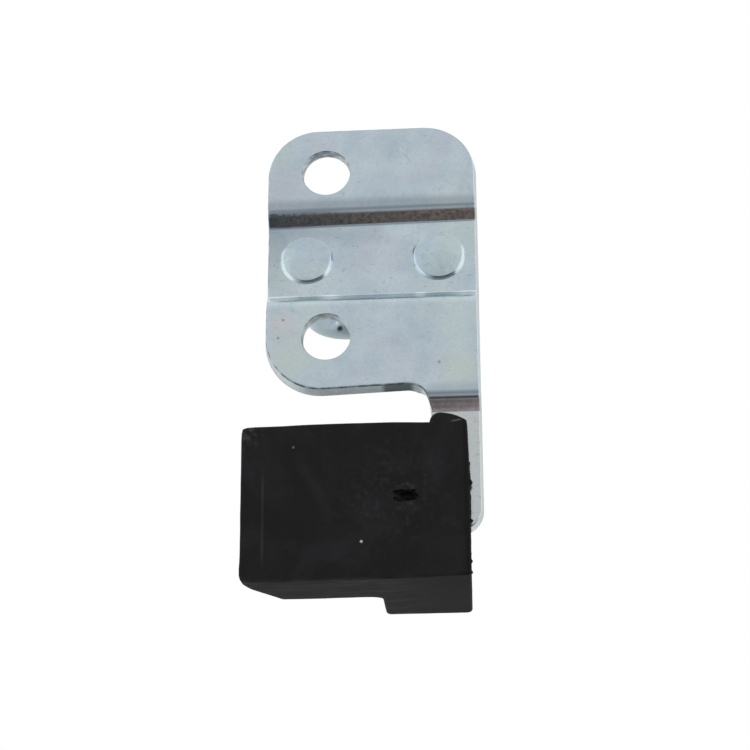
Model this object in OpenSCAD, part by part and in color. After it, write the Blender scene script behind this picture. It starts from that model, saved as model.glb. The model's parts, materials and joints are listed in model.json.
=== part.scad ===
// Door striker with a buffer block. A pressed sheet bracket bolts to a door post. A round rod, bent to
// a loop for the door's latch, is riveted through it, and a rubber block is moulded on to its arm.
// X runs across the bracket, Y away from the mounting face and Z up. The origin lies on the mounting
// face, midway between the two bolt holes.

/* [Bracket] */
// Thickness of the bracket's sheet
sheet_t = 2.5; // [1.6:0.1:3]
// Width of the bracket across its ears
plate_w = 40.2; // [38:0.5:60]
// Distance between the bolt holes
hole_pitch = 34; // [32:0.5:50]
// Diameter of the bolt holes
hole_d = 9; // [5:0.1:11]
// Bolt hole centres to the bracket's left edge
hole_edge = 11.4; // [8:0.1:16]
// Upper bolt hole to the top edge
top_margin = 9.3; // [8:0.1:20]
// Lower bolt hole to the lower ear's bottom edge, straight below it
bottom_margin = 11; // [9:0.1:20]
// Rise of that bottom edge towards the arm, in degrees
ear_slant = 2.1; // [0:0.1:4]
// Radius of the ears' outer corners
corner_r = 10; // [3:0.5:12]

/* [Recess] */
// Depth of the recess, and of the arm's set-back, behind the mounting face
recess_d = 2; // [1.6:0.1:4]
// Height of the recess between the starts of its bends
recess_h = 21.6; // [20:0.1:22]
// Middle of the recess above the middle of the bolt holes
recess_z = -0.5; // [-1:0.1:1]
// Inside radius of the bends
bend_r = 0.8; // [0.5:0.1:1.2]
// Slope of the set-backs
bend_angle = 45; // [30:1:60]

/* [Arm] */
// Width of the arm that carries the block
arm_w = 9.5; // [7:0.1:14]
// Length of the arm below the lower ear
arm_len = 28.1; // [20:0.1:34]
// Lower ear's bottom edge to the start of the arm's bend
arm_bend_gap = 0.7; // [0:0.1:2]
// Radius between the lower ear and the arm
arm_fillet_r = 4.2; // [1:0.1:6]

/* [Striker loop] */
// Diameter of the loop's rod
rod_d = 6; // [5:0.1:8]
// Distance between the middles of the loop's legs
loop_w = 25.2; // [20:0.1:28]
// Mounting face to the back of the loop's crossbar
loop_reach = 36.8; // [25:0.1:50]
// Radius of the loop's bends at the rod's middle
loop_bend_r = 5.5; // [4.5:0.1:9]
// Height of the loop above the middle of the bolt holes
loop_z = -1; // [-1.5:0.1:1.5]
// Diameter of the rod's turned ends, which pass through the bracket
spigot_d = 4.6; // [3:0.1:4.8]
// Gap round the turned ends in their holes
spigot_clear = 0.05; // [0.02:0.01:0.2]
// Diameter of the peened heads
head_d = 10; // [7:0.1:12]
// Height of the peened heads
head_h = 1.6; // [1:0.1:1.6]
// Rounding of the peened heads' rims
head_rim_r = 0.8; // [0.2:0.1:0.9]

/* [Buffer block] */
// Width of the block
block_w = 42.3; // [36:0.1:60]
// Height of the block
block_h = 29.8; // [24:0.1:50]
// Depth of the block behind the arm
block_d = 25.4; // [18:0.1:40]
// Width of the block's deep part
deep_w = 17; // [12:0.1:24]
// Depth of the block's shallow part
shallow_d = 12.9; // [8:0.1:16]
// Gap between the lower ear and the block
block_gap = 7.2; // [6:0.1:9]
// How far the arm's outer edge stands out of the block
arm_out = 2.4; // [1:0.1:3.5]
// Width of the slope at the block's back corner
slope_w = 6.7; // [2:0.1:12]
// Depth of the block's inner side, in front of that slope
inner_d = 3; // [2:0.1:7]
// Radius in the step between the deep and shallow parts
step_fillet_r = 2; // [0.5:0.1:4]
// Radius on the deep part's back corners
deep_corner_r = 1.2; // [0.4:0.1:3]
// Radius on the block's front edges
front_edge_r = 0.5; // [0.2:0.1:1]
// Radius where the sloped back corner meets the sides
slope_edge_r = 1; // [0.4:0.1:1.2]
// Taper of the block's outer side, in degrees
side_draft = 1.5; // [0:0.1:3]
// Rise of the lip in front of the arm above the block
lip_rise = 2; // [0.5:0.05:2.5]
// Fall of the lip's top towards the block's outer side, in degrees
lip_fall = 12; // [0:1:20]
// Radius of the lip's inner shoulder, where it is highest
lip_in_r = 2; // [0.5:0.1:3]
// Radius of the lip's outer shoulder
lip_out_r = 1.2; // [0.4:0.1:2]

/* [Gate mark] */
// Distance of the mark from the block's outer side
gate_x = 11.7; // [6:0.1:16]
// Distance of the mark above the block's bottom
gate_z = 15.7; // [6:0.1:22]
// Width of the torn mark
gate_w = 3.6; // [2:0.1:6]
// Height of the torn mark
gate_h = 2.2; // [1:0.1:2.8]
// Depth of the torn mark
gate_d = 0.7; // [0.2:0.1:1]

/* [Hidden] */
$fn = 96;
over = 1;
bend_steps = 8;

hole_z = hole_pitch / 2;
left_x = -hole_edge;
right_x = plate_w - hole_edge;
top_z = hole_z + top_margin;
ear_z = -hole_z - bottom_margin;
arm_x = right_x - arm_w;
arm_root_z = ear_z + arm_x * tan(ear_slant);
arm_end_z = arm_root_z - arm_len;

bend_mid_r = bend_r + sheet_t / 2;
slope_len = (recess_d - 2 * bend_mid_r * (1 - cos(bend_angle))) / sin(bend_angle);
set_back_h = 2 * bend_mid_r * sin(bend_angle) + slope_len * cos(bend_angle);
recess_top = recess_z + recess_h / 2;
recess_bottom = recess_z - recess_h / 2;
arm_bend_z = arm_root_z - arm_bend_gap;
band_back = recess_d + sheet_t;

loop_x = (left_x + right_x) / 2;
leg_x = [loop_x - loop_w / 2, loop_x + loop_w / 2];
bar_y = loop_reach - rod_d / 2;

block_right = right_x - arm_out;
block_left = block_right - block_w;
block_top = arm_root_z - block_gap;
block_bottom = block_top - block_h;
deep_left = block_right - deep_w;

zinc_colour = "LightSteelBlue";
steel_colour = "Silver";
rubber_colour = "#232326";

// Extrudes an outline drawn in X and Z from the front at y0 to the back at y1
module across(y0, y1) {
    translate([0, y1, 0]) rotate([90, 0, 0]) linear_extrude(y1 - y0) children();
}

// Web in the corner between an upright edge and an edge that rises by slant degrees to the right, outside
// the round of radius r that touches both. It reaches past both edges
module corner_web(r, slant = 0) {
    skew = (1 + sin(slant)) / cos(slant);
    reach = r + over;
    difference() {
        polygon([
            [-over, -over * skew], [r + reach * sin(slant), r * skew - reach * cos(slant)],
            [r, r * skew], [-over, r * skew],
        ]);
        translate([r, r * skew]) circle(r);
    }
}

// Points along an arc about the point c, from angle a0 to angle a1
function arc(c, r, a0, a1) = [
    for (i = [0:bend_steps]) let(a = a0 + (a1 - a0) * i / bend_steps) c + r * [cos(a), sin(a)]
];

// One face of the sheet through a set-back, in Y and Z. It starts at the mounting face at height z and
// heads down to the depth of the recess. The first bend has radius r1 at this face, the second r2
function set_back(z, r1, r2) =
    let(turn = 180 + bend_angle)
    let(first = [sheet_t + bend_r, z])
    let(second = first + (2 * bend_r + sheet_t) * [cos(turn), sin(turn)]
        + slope_len * [-sin(turn), cos(turn)])
    concat(arc(first, r1, 180, turn), arc(second, r2, bend_angle, 0));

// The same face where the sheet comes forward again and ends at the mounting face at height z
function come_forward(z, r1, r2) =
    let(points = set_back(0, r1, r2))
    [for (i = [len(points) - 1:-1:0]) [points[i].x, z - points[i].y]];

// One whole face of the sheet, from above the top edge to below the arm's end. The face lies at depth
// y on the ears, and its bends away from the mounting face and back to it have radii r1 and r2
function sheet_face(y, r1, r2) = concat(
    [[y, top_z + over]],
    set_back(recess_top, r1, r2),
    come_forward(recess_bottom, r1, r2),
    set_back(arm_bend_z, r1, r2),
    [[y + recess_d, arm_end_z - over]]
);

// Section of the folded sheet
module sheet_section() {
    front = sheet_face(0, bend_r + sheet_t, bend_r);
    back = sheet_face(sheet_t, bend_r, bend_r + sheet_t);
    polygon(concat(front, [for (i = [len(back) - 1:-1:0]) back[i]]));
}

// Outline of the flattened view of the sheet: two ears in one round-cornered plate, and the arm
module sheet_outline() {
    left_z = ear_z + left_x * tan(ear_slant);
    difference() {
        polygon([
            [left_x, left_z], [arm_x, arm_root_z], [right_x, arm_root_z], [right_x, top_z], [left_x, top_z],
        ]);
        translate([left_x, left_z]) corner_web(corner_r, ear_slant);
        translate([left_x, top_z]) mirror([0, 1]) corner_web(corner_r);
        translate([right_x, top_z]) rotate(180) corner_web(corner_r);
    }
    translate([arm_x, arm_end_z + arm_w / 2]) square([arm_w, arm_len]);
    translate([arm_x + arm_w / 2, arm_end_z + arm_w / 2]) circle(d = arm_w);
    translate([arm_x, arm_root_z]) rotate(180) corner_web(arm_fillet_r, ear_slant);
}

// The folded sheet before its holes are punched
module folded_sheet() {
    intersection() {
        translate([left_x - over, 0, 0]) rotate([90, 0, 90])
            linear_extrude(plate_w + 2 * over) sheet_section();
        across(-over, band_back + over) sheet_outline();
    }
}

// Round punch along Y through the whole sheet
module punch(x, z, d) {
    translate([x, -over, z]) rotate([-90, 0, 0]) cylinder(d = d, h = band_back + 2 * over);
}

module bracket() {
    color(zinc_colour) difference() {
        folded_sheet();
        for (side = [-1, 1]) punch(0, side * hole_z, hole_d);
        for (x = leg_x) punch(x, loop_z, spigot_d + 2 * spigot_clear);
    }
}

// Half section of one rod end: the turned spigot, and the head that is peened over on the sheet
module rod_end_section() {
    square([spigot_d / 2, sheet_t + head_h / 2]);
    translate([0, sheet_t]) {
        square([head_d / 2 - head_rim_r, head_h]);
        square([head_d / 2, head_h - head_rim_r]);
        translate([head_d / 2 - head_rim_r, head_h - head_rim_r]) circle(head_rim_r);
    }
}

// Left half of the loop: rod end, leg, bend and half of the crossbar
module half_loop() {
    leg_len = bar_y - loop_bend_r - band_back;
    translate([-loop_w / 2, band_back, 0]) {
        rotate([90, 0, 0]) rotate_extrude() rod_end_section();
        rotate([-90, 0, 0]) cylinder(d = rod_d, h = leg_len);
        translate([loop_bend_r, leg_len, 0]) rotate(90)
            rotate_extrude(angle = 90) translate([loop_bend_r, 0]) circle(d = rod_d);
        translate([loop_bend_r, leg_len + loop_bend_r, 0]) rotate([0, 90, 0])
            cylinder(d = rod_d, h = loop_w / 2 - loop_bend_r);
    }
}

module striker_loop() {
    color(steel_colour) translate([loop_x, 0, loop_z]) {
        half_loop();
        mirror([1, 0, 0]) half_loop();
    }
}

// The direction of a vector
function unit(v) = v / norm(v);

// Points of a closed outline whose corners, each given as [x, y, r], are rounded with radius r
function rounded(corners) = [
    for (i = [0:len(corners) - 1])
        let(count = len(corners), last = corners[(i + count - 1) % count], next = corners[(i + 1) % count])
        let(here = [corners[i].x, corners[i].y], r = corners[i].z)
        let(way_in = unit(here - [last.x, last.y]), way_out = unit([next.x, next.y] - here))
        let(turn = atan2(cross(way_in, way_out), way_in * way_out))
        let(inward = sign(turn) * [-way_in.y, way_in.x])
        let(centre = here - r * tan(abs(turn) / 2) * way_in + r * inward)
        let(start = atan2(-inward.y, -inward.x))
        each arc(centre, r, start, start + turn)
];

// Plan of the block in X and Y: a shallow part with a sloped back corner, and a deep part at the arm
module block_plan() {
    drawn_in = block_d * tan(side_draft);
    polygon(rounded([
        [block_left, 0, front_edge_r],
        [block_right, 0, front_edge_r],
        [block_right - drawn_in, block_d, deep_corner_r],
        [deep_left, block_d, deep_corner_r],
        [deep_left, shallow_d, step_fillet_r],
        [block_left + slope_w, shallow_d, slope_edge_r],
        [block_left, inner_d, slope_edge_r],
    ]));
}

// Lip of rubber that laps up the front of the arm. Its top is highest at the round inner shoulder, and it
// is no wider than the arm inside the block
module arm_lip() {
    in_z = block_top + lip_rise + lip_in_r * (tan(lip_fall) + 1 / cos(lip_fall) - 1);
    out_z = in_z - (block_right - arm_x) * tan(lip_fall);
    across(0, recess_d) polygon(rounded([
        [arm_x, block_top - over, front_edge_r],
        [block_right, block_top - over, front_edge_r],
        [block_right, out_z, lip_out_r],
        [arm_x, in_z, lip_in_r],
    ]));
}

// Torn mark that the moulding gate left in the block's front
module gate_mark() {
    ball_r = (gate_h * gate_h / 4 + gate_d * gate_d) / (2 * gate_d);
    apart = (gate_w - gate_h) / 2;
    translate([block_right - gate_x, gate_d - ball_r, block_bottom + gate_z]) {
        rotate([0, 90, 0]) cylinder(r = ball_r, h = 2 * apart, center = true);
        for (side = [-1, 1]) translate([side * apart, 0, 0]) sphere(ball_r);
    }
}

module buffer_block() {
    color(rubber_colour) difference() {
        union() {
            translate([0, 0, block_bottom]) linear_extrude(block_h) block_plan();
            arm_lip();
        }
        folded_sheet();
        gate_mark();
    }
}

bracket();
striker_loop();
buffer_block();
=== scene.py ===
import json
import math

import bmesh
import bpy
from mathutils import Matrix, Vector, noise
from mathutils.geometry import tessellate_polygon


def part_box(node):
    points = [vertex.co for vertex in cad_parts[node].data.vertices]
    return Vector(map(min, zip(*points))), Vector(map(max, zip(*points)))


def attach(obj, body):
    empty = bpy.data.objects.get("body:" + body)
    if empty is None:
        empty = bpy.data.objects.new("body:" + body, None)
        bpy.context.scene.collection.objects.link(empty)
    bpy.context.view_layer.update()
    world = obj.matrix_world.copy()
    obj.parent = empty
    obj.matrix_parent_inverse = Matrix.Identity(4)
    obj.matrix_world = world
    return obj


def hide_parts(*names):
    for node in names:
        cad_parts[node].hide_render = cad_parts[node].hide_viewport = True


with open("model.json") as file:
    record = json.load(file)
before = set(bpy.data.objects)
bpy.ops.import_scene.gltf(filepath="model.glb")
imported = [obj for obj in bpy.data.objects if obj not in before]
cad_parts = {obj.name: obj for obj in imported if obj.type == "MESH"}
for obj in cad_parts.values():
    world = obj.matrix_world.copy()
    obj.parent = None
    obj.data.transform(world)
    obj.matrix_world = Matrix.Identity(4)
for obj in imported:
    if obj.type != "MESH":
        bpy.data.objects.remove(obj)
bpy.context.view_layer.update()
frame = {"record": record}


# Bracket: one blank of sheet steel, cut and punched, then pressed so that its middle band and its arm lie
# behind the mounting face. The cut rolled the front edge over, flared out behind it and left the back edge
# sharp. The whole piece is plated with bright zinc.
MM = 0.001
bracket_low, bracket_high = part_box("bracket")
sheet_t = 2.5 * MM
recess = bracket_high.y - sheet_t
left_x = bracket_low.x
right_x = bracket_high.x
top_z = bracket_high.z
arm_end_z = bracket_low.z
mounts = {mount["name"]: mount for mount in frame["record"]["mounts"]}
bolt_hole_r = mounts["bolt_holes"]["dims"]["hole_r_mm"] * MM
bolt_hole_z = mounts["bolt_holes"]["dims"]["spacing_y_mm"] * MM / 2
ear_corner_r = 10 * MM
ear_lean = 0.35 * MM
ear_lean_r = 10.8 * MM
arm_w = 9.5 * MM
arm_x = right_x - arm_w
arm_fillet_r = 4.2 * MM
ear_z = -bolt_hole_z - 11 * MM
ear_rise = math.tan(math.radians(2.1))
ear_left_z = ear_z + left_x * ear_rise
arm_root_z = ear_z + arm_x * ear_rise
recess_top = 10.3 * MM
recess_bottom = -11.3 * MM
arm_bend_z = arm_root_z - 0.7 * MM
bend_mid_r = 0.8 * MM + sheet_t / 2
bend_angle = math.radians(45)
drawn_out = 0.17
foot_band_reach = 0.25 * MM
foot_fade = 1.5 * foot_band_reach
edge_roll = 0.3 * MM
edge_flare = 0.3 * MM
ear_edge_roll = 0.6 * MM
ear_edge_flare = 0.5 * MM
hole_roll = 0.2 * MM
hole_flare = 0.1 * MM
edge_burr = 0.12 * MM
cut_start = 0.3
roll_middle = 0.6
roll_reach = 0.4
roll_gain = 1.8
hole_rolled = 0.8
hole_sheared = 0.5
corner_steps = 14
roll_steps = 6
bend_steps = 10
hole_sides = 72
sharp_angle = math.radians(40)
loop_low, loop_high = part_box("striker_loop")
loop_z = (loop_low.z + loop_high.z) / 2
loop_x = (loop_low.x + loop_high.x) / 2
leg_apart = 25.2 * MM
leg_xs = [loop_x - leg_apart / 2, loop_x + leg_apart / 2]
spigot_r = 2.3 * MM


def rounded_ring(corners, inset, steps=corner_steps):
    """Points of a round-cornered outline, drawn anticlockwise and then taken in by inset."""
    points = []
    for i, (at, radius) in enumerate(corners):
        here = Vector(at)
        way_in = (here - Vector(corners[i - 1][0])).normalized()
        way_out = (Vector(corners[(i + 1) % len(corners)][0]) - here).normalized()
        turn = math.atan2(way_in.cross(way_out), way_in.dot(way_out))
        side = math.copysign(1, turn)
        inward = Vector((-way_in.y, way_in.x)) * side
        centre = here - way_in * radius * math.tan(abs(turn) / 2) + inward * radius
        for k in range(steps + 1):
            spoke = Matrix.Rotation(turn * k / steps, 2) @ -inward
            points.append(centre + spoke * (radius - side * inset))
    return points


def round_hole(x, z, radius, inset, sides=hole_sides):
    """Points of a punched hole, opened out by inset."""
    reach = radius + inset
    turns = [2 * math.pi * k / sides for k in range(sides)]
    return [Vector((x + reach * math.cos(a), z + reach * math.sin(a))) for a in turns]


def edge_profile(depth, front_r, flare, back_r, steps=roll_steps):
    """Insets and depths from the front face round the edge, out along its flare and to the back face."""
    turns = [math.pi / 2 * k / steps for k in range(steps + 1)]
    front = [(flare + front_r * (1 - math.sin(a)), front_r * (1 - math.cos(a))) for a in turns]
    back = [(back_r * (1 - math.cos(a)), depth - back_r * (1 - math.sin(a))) for a in turns]
    return front + back


def stitch(bm, rings):
    """Joins closed rings of points, one after another, with a band of faces."""
    made = [[bm.verts.new(point) for point in ring] for ring in rings]
    for a, b in zip(made, made[1:]):
        for k in range(len(a)):
            n = (k + 1) % len(a)
            bm.faces.new((a[k], a[n], b[n], b[k]))
    return made


def close_face(bm, rims):
    """Fills the face inside the first rim of vertices and outside the others."""
    verts = [vert for rim in rims for vert in rim]
    for corners in tessellate_polygon([[vert.co for vert in rim] for rim in rims]):
        bm.faces.new([verts[i] for i in corners])


def finish_mesh(bm, name):
    """Turns the working mesh into a smooth-shaded object with crisp edges."""
    bmesh.ops.remove_doubles(bm, verts=bm.verts, dist=1e-7)
    bmesh.ops.recalc_face_normals(bm, faces=bm.faces)
    mesh = bpy.data.meshes.new(name)
    bm.to_mesh(mesh)
    bm.free()
    mesh.shade_smooth()
    mesh.set_sharp_from_angle(angle=sharp_angle)
    piece = bpy.data.objects.new(name, mesh)
    bpy.context.scene.collection.objects.link(piece)
    return piece


slope_run = (recess - 2 * bend_mid_r * (1 - math.cos(bend_angle))) / math.tan(bend_angle)
bend_run = bend_mid_r * math.sin(bend_angle)
set_back_h = 2 * bend_run + slope_run


def set_back(gone):
    """Depth and tilt of the sheet's middle at a height of gone into a set-back."""
    if gone <= 0:
        return 0, 0
    if gone >= set_back_h:
        return recess, 0
    if gone < bend_run:
        tilt = math.asin(gone / bend_mid_r)
        return bend_mid_r * (1 - math.cos(tilt)), tilt
    if set_back_h - gone < bend_run:
        tilt = math.asin((set_back_h - gone) / bend_mid_r)
        return recess - bend_mid_r * (1 - math.cos(tilt)), tilt
    into_slope = (gone - bend_run) * math.tan(bend_angle)
    return bend_mid_r * (1 - math.cos(bend_angle)) + into_slope, bend_angle


def folded(point):
    """Where a point of the flat blank lies once the sheet is pressed, and how far the bend has turned it,
    which places the painted reflection and shade.
    """
    arm_gone = arm_bend_z - point.z
    arm_foot = set_back_h / 2 < arm_gone < set_back_h + foot_fade - 0.001 * MM
    if point.z > (recess_top + recess_bottom) / 2:
        stretch = 1 - drawn_out * (right_x - point.x) / (right_x - left_x)
        depth, tilt = set_back((recess_top - point.z) * stretch)
        tilt = math.atan(math.tan(tilt) * stretch)
    elif point.z > recess_bottom:
        depth, tilt = set_back(point.z - recess_bottom)
        tilt = -tilt
    else:
        depth, tilt = set_back(arm_gone)
    off = point.y - sheet_t / 2
    y = sheet_t / 2 + depth + off * math.cos(tilt)
    return Vector((point.x, y, point.z + off * math.sin(tilt))), 1 if arm_foot else tilt / bend_angle


def blank_outline(lift):
    """Corners and radii of the flat blank, with the lower ear's bottom edge lifted."""
    return [
        ((left_x - ear_lean, ear_left_z + lift), ear_lean_r),
        ((arm_x, arm_root_z + lift), arm_fillet_r),
        ((arm_x, arm_end_z), arm_w / 2),
        ((right_x, arm_end_z), arm_w / 2),
        ((right_x, top_z), ear_corner_r),
        ((left_x, top_z), ear_corner_r),
    ]


def ear_lift(inset):
    """How much further the ear's lower edge is taken in than the others, as it flares and rolls more."""
    flare_part = min(inset, edge_flare) * ear_edge_flare / edge_flare
    roll_part = max(0, inset - edge_flare) * ear_edge_roll / edge_roll
    return flare_part + roll_part - inset


punched = [(0, bolt_hole_z, bolt_hole_r), (0, -bolt_hole_z, bolt_hole_r)]
punched += [(x, loop_z, spigot_r) for x in leg_xs]

blank = bmesh.new()
sheared = blank.verts.layers.float.new("sheared")
rolled = blank.verts.layers.float.new("rolled")
bend_shading = blank.verts.layers.float.new("bend_shading")
outer_rings = [
    [(p.x, depth, p.y) for p in rounded_ring(blank_outline(ear_lift(inset)), inset)]
    for inset, depth in edge_profile(sheet_t, edge_roll, edge_flare, edge_burr)
]
hole_ring_sets = [
    [
        [(p.x, depth, p.y) for p in round_hole(x, z, radius, inset)]
        for inset, depth in edge_profile(sheet_t, hole_roll, hole_flare, edge_burr)
    ]
    for x, z, radius in punched
]
walls = [stitch(blank, rings) for rings in [outer_rings] + hole_ring_sets]
# Each edge's rings are weighted for its pale cut face and for the painted shade along its roll.
for wall in walls:
    for k, ring in enumerate(wall[:-1]):
        for vert in ring:
            vert[sheared] = min(max(0, k / roll_steps - cut_start) / (1 - cut_start), 1)
            off_roll = abs(k / roll_steps - roll_middle)
            vert[rolled] = min(1, roll_gain * max(0, 1 - off_roll / roll_reach))
for wall in walls[1:]:
    for vert in wall[roll_steps] + wall[roll_steps + 1]:
        vert[rolled] = hole_rolled
        vert[sheared] = hole_sheared
close_face(blank, [wall[0] for wall in walls])
close_face(blank, [wall[-1] for wall in walls])

bend_turns = [bend_angle * k / bend_steps for k in range(bend_steps + 1)]
bend_drops = [bend_mid_r * math.sin(a) for a in bend_turns]
bend_drops += [set_back_h - drop for drop in bend_drops]
fold_lines = [recess_top - drop / (1 - drawn_out / 2) for drop in bend_drops]
fold_lines += [recess_bottom + drop for drop in bend_drops]
fold_lines += [arm_bend_z - drop for drop in bend_drops]
fold_lines += [arm_bend_z - set_back_h - foot_band_reach, arm_bend_z - set_back_h - foot_fade]
for z in fold_lines:
    whole = blank.verts[:] + blank.edges[:] + blank.faces[:]
    bmesh.ops.bisect_plane(blank, geom=whole, dist=1e-8, plane_co=(0, 0, z), plane_no=(0, 0, 1))
for vert in blank.verts:
    vert.co, vert[bend_shading] = folded(vert.co)
bracket_sheet = finish_mesh(blank, "bracket_sheet")


def linear(hex_colour):
    """A colour written as sRGB hex, in Blender's linear values."""
    parts = [int(hex_colour[i:i + 2], 16) / 255 for i in (1, 3, 5)]
    return [p / 12.92 if p <= 0.04045 else ((p + 0.055) / 1.055) ** 2.4 for p in parts] + [1.0]


def link(tree, source, socket):
    """Links a socket to a node's output in use, or to another socket."""
    if isinstance(source, bpy.types.Node):
        source = next(output for output in source.outputs if output.enabled)
    tree.links.new(source, socket)


def add(tree, kind, settings, sockets):
    """Adds a node, sets its properties, and sets its sockets or links them to nodes."""
    node = tree.nodes.new(kind)
    for name, value in settings.items():
        setattr(node, name, value)
    for name, value in sockets.items():
        if isinstance(value, (bpy.types.Node, bpy.types.NodeSocket)):
            link(tree, value, node.inputs[name])
        else:
            node.inputs[name].default_value = value
    return node


def near_line(tree, value, middle, start, full, most=1.0, way="LINEAR"):
    """A share that is none where a value lies start away from the middle one, and most of all at full."""
    past = add(tree, "ShaderNodeMath", {"operation": "SUBTRACT"}, {0: value, 1: middle})
    off = add(tree, "ShaderNodeMath", {"operation": "ABSOLUTE"}, {0: past})
    return add(tree, "ShaderNodeMapRange", {"interpolation_type": way}, {
        "Value": off, "From Min": start, "From Max": full, "To Max": most})


def near_spot(tree, place, spot, start, full, most=1.0, way="LINEAR"):
    """A share that is none at a distance of start from a spot, and most of all at full."""
    off = add(tree, "ShaderNodeVectorMath", {"operation": "DISTANCE"}, {0: place, 1: spot})
    return add(tree, "ShaderNodeMapRange", {"interpolation_type": way}, {
        "Value": off, "From Min": start, "From Max": full, "To Max": most})


def meet(tree, *shares):
    """The share of a place where all the given shares meet, which is their product."""
    whole = shares[0]
    for share in shares[1:]:
        whole = add(tree, "ShaderNodeMath", {"operation": "MULTIPLY"}, {0: whole, 1: share})
    return whole


def coat(tree, under, coats):
    """Lays coats of colour over one another, each by its own share."""
    for share, colour in coats:
        over = linear(colour) if isinstance(colour, str) else colour
        under = add(tree, "ShaderNodeMix", {"data_type": "RGBA"}, {"Factor": share, "A": under, "B": over})
    return under


# Bright zinc with a clear blue passivation: a smooth, hard mirror that is a little clouded. The clouds
# are a few millimetres across, blue to faintly green and violet, and the grain of the rolled sheet shows
# under the plating, drawn coarser than it is. The set-backs are painted a dark mottled brown, a painted
# reflection of dark surroundings with a mottle of press wear, with painted shade where their bends start,
# and the lower step has painted highlights. The cut edges are matt and pale, with painted shade near the
# sides, a painted reflection of the black block under the lower ear, and a broken line of painted shade
# where they roll over.
cloud_mm = 7
tint_mm = 15
grain_mm = 0.5
mottle_mm = 0.8
smudge_mm = 3.5
break_mm = 1.6
block_reflection_x = 13.4 * MM
block_reflection_half = 3.2 * MM
dash_mm = 1.4
dash_flat = 2.4
brown_x = 18 * MM
arm_shade_line_z = arm_bend_z - 2.3 * MM
step_breaks = [(0.7 * MM, 2.6 * MM, 0.8), (17.8 * MM, 1.4 * MM, 0.75), (27.2 * MM, 3.6 * MM, 0.75)]
specks = [Vector(at) * MM for at in ((-8.1, 0, -13.4), (-9, 0, -17), (21.2, 0, -22.8))]
tint_spots = [
    (Vector((-8.4, 0, -14.4)) * MM, 4 * MM, "#C9C8CD"),
    (Vector((-7, 0, -21)) * MM, 7 * MM, "#BECBC9"),
    (Vector((25, 0, -24)) * MM, 6 * MM, "#C0CCC6"),
    (Vector((-8, 0, 14)) * MM, 7 * MM, "#B9C0CA"),
]
zinc = bpy.data.materials.new("bright_zinc_on_rolled_steel")
zinc.use_nodes = True
tree = zinc.node_tree
shader = tree.nodes["Principled BSDF"]
place = add(tree, "ShaderNodeTexCoord", {}, {}).outputs["Object"]
axes = add(tree, "ShaderNodeSeparateXYZ", {}, {"Vector": place}).outputs
clouds = add(tree, "ShaderNodeTexNoise", {}, {
    "Vector": place, "Scale": 1000 / cloud_mm, "Detail": 5.0, "Roughness": 0.6})
tints = add(tree, "ShaderNodeTexNoise", {}, {
    "Vector": place, "Scale": 1000 / tint_mm, "Detail": 2.0, "Distortion": 0.6})
grain = add(tree, "ShaderNodeTexNoise", {}, {
    "Vector": place, "Scale": 1000 / grain_mm, "Detail": 3.0, "Roughness": 0.6})
cloud_share = add(tree, "ShaderNodeMapRange", {}, {"Value": clouds, "From Min": 0.3, "From Max": 0.68})
cloudy = add(tree, "ShaderNodeMix", {"data_type": "RGBA", "name": "cloud colours"}, {
    "Factor": cloud_share, "A": linear("#AEBEC9"), "B": linear("#C3D0D8")})
green_share = add(tree, "ShaderNodeMapRange", {}, {
    "Value": tints, "From Min": 0.5, "From Max": 0.7, "To Max": 0.45})
violet_share = add(tree, "ShaderNodeMapRange", {}, {
    "Value": tints, "From Min": 0.46, "From Max": 0.28, "To Max": 0.4})
smudges = add(tree, "ShaderNodeTexNoise", {}, {
    "Vector": place, "Scale": 1000 / smudge_mm, "Detail": 5.0, "Roughness": 0.7, "Distortion": 1.2})
smudge_share = add(tree, "ShaderNodeMapRange", {}, {
    "Value": smudges, "From Min": 0.56, "From Max": 0.72, "To Max": 0.3})
spots = [
    (near_spot(tree, place, spot, reach, 0.0, 0.9, "SMOOTHSTEP"), colour)
    for spot, reach, colour in tint_spots
]
arm_share = add(tree, "ShaderNodeMapRange", {}, {
    "Value": axes["Z"], "From Min": arm_bend_z - 3 * MM, "From Max": arm_bend_z - 4 * MM, "To Max": 0.8})
flattened = add(tree, "ShaderNodeVectorMath", {"operation": "MULTIPLY"}, {0: place, 1: (1.0, 1.0, dash_flat)})
dashes = add(tree, "ShaderNodeTexNoise", {}, {
    "Vector": flattened, "Scale": 1000 / dash_mm, "Detail": 2.0, "Roughness": 0.5})
dash_share = add(tree, "ShaderNodeMapRange", {}, {
    "Value": dashes, "From Min": 0.64, "From Max": 0.74, "To Max": 0.3})
plated = coat(tree, cloudy, [
    (green_share, "#BECDC8"), (violet_share, "#C3C2CE"), (smudge_share, "#8D9BA4"), *spots,
    (arm_share, "#C0C4C3"), (dash_share, "#7F8C93")])
grained = add(tree, "ShaderNodeMix", {"data_type": "RGBA", "blend_type": "OVERLAY"}, {
    "Factor": 0.2, "A": plated, "B": grain.outputs["Color"]})

mottle = add(tree, "ShaderNodeTexNoise", {}, {
    "Vector": place, "Scale": 1000 / mottle_mm, "Detail": 4.0, "Roughness": 0.75})
mottle_share = add(tree, "ShaderNodeMapRange", {}, {"Value": mottle, "From Min": 0.36, "From Max": 0.64})
left_share = add(tree, "ShaderNodeMapRange", {}, {
    "Value": axes["X"], "From Min": brown_x, "From Max": left_x})
on_arm = add(tree, "ShaderNodeMapRange", {}, {
    "Value": axes["Z"], "From Min": recess_bottom, "From Max": ear_z})
# The thin dark line near the top of the arm's band is painted shade.
arm_shade_line = near_line(tree, axes["Z"], arm_shade_line_z, 0.4 * MM, 0.1 * MM, 0.45)
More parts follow.
